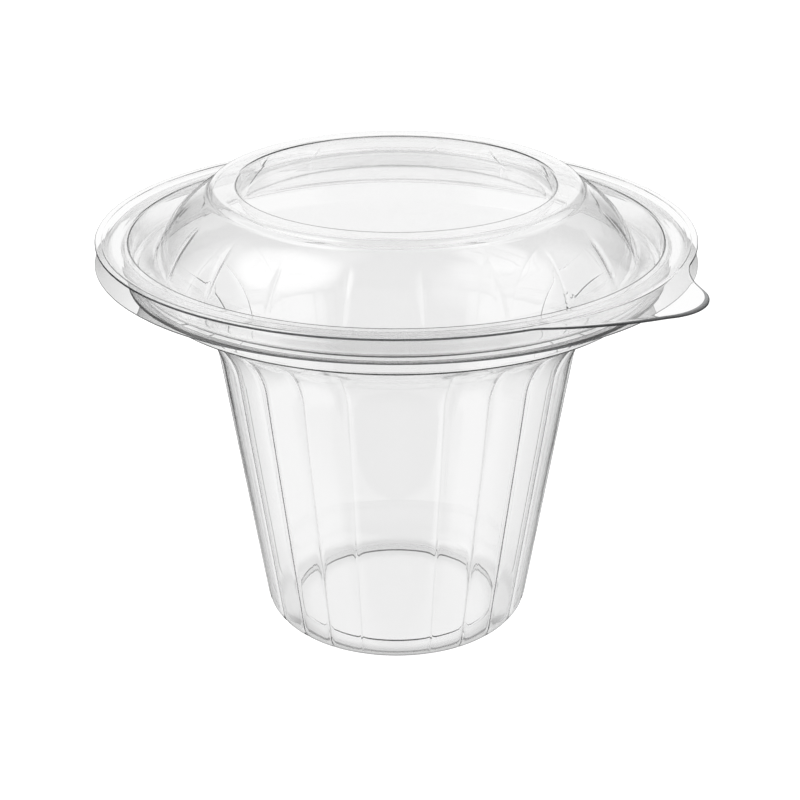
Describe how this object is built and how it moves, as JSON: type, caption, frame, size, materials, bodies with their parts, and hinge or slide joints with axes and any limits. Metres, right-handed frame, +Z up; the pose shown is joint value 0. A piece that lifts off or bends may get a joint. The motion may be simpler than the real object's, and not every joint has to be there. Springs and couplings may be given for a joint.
{
  "type": "clear plastic dessert cup with lid",
  "caption": "Clear thermoformed dessert cup with a ribbed tapering wall, wide flared rim and a lift-off domed lid with a pull tab.",
  "frame": {"origin": "centre of the foot ring, on the surface the cup stands on", "axes": "+Z up along the cup's axis; -Y faces the viewer of the picture, at the middle of the plain front panel; the lid's pull tab points between +X and -Y"},
  "size_m": [0.1186, 0.1186, 0.0934],
  "materials": {
    "clear_cup_sheet": "clear gloss thermoformed PET sheet",
    "clear_lid_sheet": "clear gloss thermoformed PET sheet"
  },
  "bodies": {
    "cup": {"cup": "clear_cup_sheet"},
    "lid": {"lid": "clear_lid_sheet"}
  },
  "joints": [
    {"name": "lid_lift", "type": "slide", "parent": "cup", "child": "lid", "axis": [0, 0, 1], "range_m": [0, 0.04]}
  ]
}
